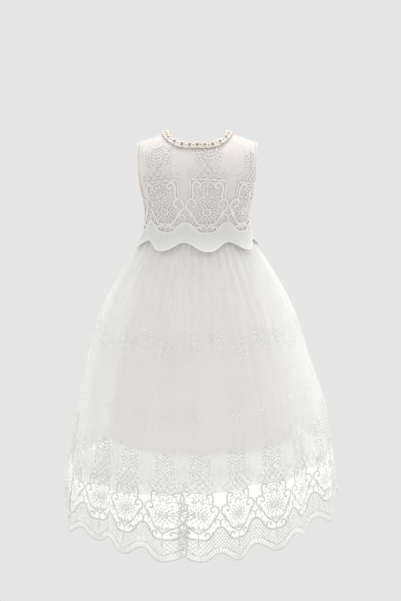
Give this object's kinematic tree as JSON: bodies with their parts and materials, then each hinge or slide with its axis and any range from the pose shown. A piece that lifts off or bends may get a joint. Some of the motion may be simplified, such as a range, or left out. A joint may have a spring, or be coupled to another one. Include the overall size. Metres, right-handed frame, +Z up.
{
  "type": "christening gown",
  "caption": "Sleeveless baby christening gown in its worn form: lace bodice over a lining, gathered skirt of embroidered net over a net petticoat and a lining, beaded neck band, buttoned back.",
  "frame": {"origin": "level with the foot of the neck, between the wearer's shoulders, on the gown's middle axis", "axes": "+Z up towards the head, -Y the front of the gown, +X the wearer's left"},
  "size_m": [0.4512, 0.3772, 0.6174],
  "materials": {
    "lining_cloth": "soft satin, ivory",
    "bodice_lace": "fine net with white embroidery",
    "embroidered_net": "fine net with white corded embroidery at the hem",
    "petticoat_net": "plain fine net",
    "bead_trim": "clear and pearl beads on white thread",
    "pearl_button": "polished pearl"
  },
  "bodies": {
    "root": {"bodice_lining_front": "lining_cloth", "bodice_lining_back_left": "lining_cloth", "bodice_lining_back_right": "lining_cloth", "lace_bodice_front": "bodice_lace", "lace_bodice_back_left": "bodice_lace", "lace_bodice_back_right": "bodice_lace", "skirt_front": "embroidered_net", "skirt_back": "embroidered_net", "petticoat_front": "petticoat_net", "petticoat_back": "petticoat_net", "skirt_lining_front": "lining_cloth", "skirt_lining_back": "lining_cloth", "neck_trim": "bead_trim", "button_1": "pearl_button", "button_2": "pearl_button", "button_3": "pearl_button", "button_4": "pearl_button", "button_5": "pearl_button"}
  },
  "joints": []
}
